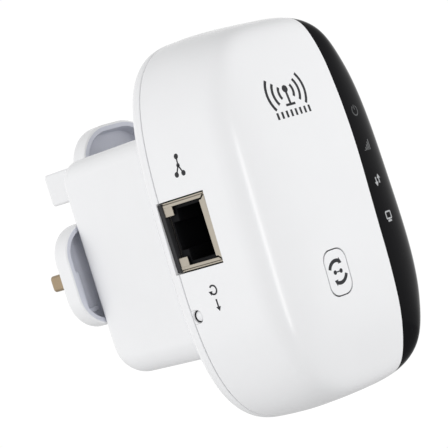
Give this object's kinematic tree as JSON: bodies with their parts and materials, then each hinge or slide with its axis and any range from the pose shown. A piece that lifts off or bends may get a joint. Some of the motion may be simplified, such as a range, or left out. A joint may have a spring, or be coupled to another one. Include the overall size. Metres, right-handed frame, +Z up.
{
  "type": "wifi range extender",
  "caption": "Plug-in wifi range extender: rounded glossy body with a dark display strip, a side network socket, press buttons, and a British three-pin plug block behind.",
  "frame": {"origin": "rear face of the plug flange, midway between the live and neutral pins", "axes": "+Y out of the plug face towards the wall socket, +Z up, +X to the right seen from the front"},
  "size_m": [0.0544, 0.0899, 0.0884],
  "materials": {
    "white_shell": "glossy white moulded plastic",
    "black_window": "high gloss smoked black",
    "pin_brass": "satin rolled brass",
    "sleeve_plastic": "matt black insulation",
    "socket_nickel": "warm satin nickel plate",
    "socket_plastic": "matt black moulding",
    "contact_gold": "gold plated wire",
    "main_board_green": "green solder mask",
    "power_board_tan": "bare paper laminate",
    "tinned_steel": "tin plate",
    "chip_black": "moulded epoxy",
    "switch_grey": "satin grey plastic",
    "clear_plastic": "clear moulded plastic",
    "ferrite": "sintered dark grey",
    "winding_tape": "yellow polyester tape",
    "capacitor_sleeve": "shrunk dark sleeve",
    "ceramic_blue": "dipped blue coating",
    "resistor_body": "green flameproof coating",
    "lead_black": "satin black insulation",
    "lead_red": "satin red insulation",
    "screw_steel": "zinc plated"
  },
  "bodies": {
    "casing": {"antenna_lead_lower": "lead_black", "antenna_lead_upper": "lead_black", "antenna_lower": "tinned_steel", "antenna_upper": "tinned_steel", "back_cover": "white_shell", "bridge_rectifier": "chip_black", "crystal": "tinned_steel", "earth_pin": "white_shell", "flash_chip": "chip_black", "front_cover": "white_shell", "fuse_resistor": "resistor_body", "input_capacitor": "capacitor_sleeve", "led_1": "clear_plastic", "led_2": "clear_plastic", "led_3": "clear_plastic", "led_4": "clear_plastic", "light_guide": "clear_plastic", "live_contact": "pin_brass", "live_pin": "pin_brass", "live_pin_sleeve": "sleeve_plastic", "main_board_screw_1": "screw_steel", "main_board_screw_2": "screw_steel", "main_pcb": "main_board_green", "network_transformer": "chip_black", "neutral_contact": "pin_brass", "neutral_pin": "pin_brass", "neutral_pin_sleeve": "sleeve_plastic", "output_capacitor": "capacitor_sleeve", "plug_flange": "white_shell", "power_board_screw_1": "screw_steel", "power_board_screw_2": "screw_steel", "power_chip": "chip_black", "power_pcb": "power_board_tan", "reset_switch_body": "tinned_steel", "rf_shield_can": "tinned_steel", "rj45_contact_1": "contact_gold", "rj45_contact_2": "contact_gold", "rj45_contact_3": "contact_gold", "rj45_contact_4": "contact_gold", "rj45_contact_5": "contact_gold", "rj45_contact_6": "contact_gold", "rj45_contact_7": "contact_gold", "rj45_contact_8": "contact_gold", "rj45_insert": "socket_plastic", "rj45_shield": "socket_nickel", "side_window": "black_window", "supply_lead_negative": "lead_black", "supply_lead_positive": "lead_red", "transformer_core": "ferrite", "transformer_winding": "winding_tape", "wifi_chip": "chip_black", "wps_switch_body": "chip_black", "y_capacitor": "ceramic_blue"},
    "wps_button": {"wps_button": "white_shell", "wps_switch_plunger": "switch_grey"},
    "reset_button": {"reset_button": "white_shell", "reset_switch_plunger": "switch_grey"}
  },
  "joints": [
    {"name": "wps_press", "type": "slide", "parent": "casing", "child": "wps_button", "axis": [0, 1, 0], "range_m": [0, 0.0005], "stiffness_N_per_m": 2000},
    {"name": "reset_press", "type": "slide", "parent": "casing", "child": "reset_button", "axis": [1, 0, 0], "range_m": [0, 0.0005], "stiffness_N_per_m": 2500}
  ]
}
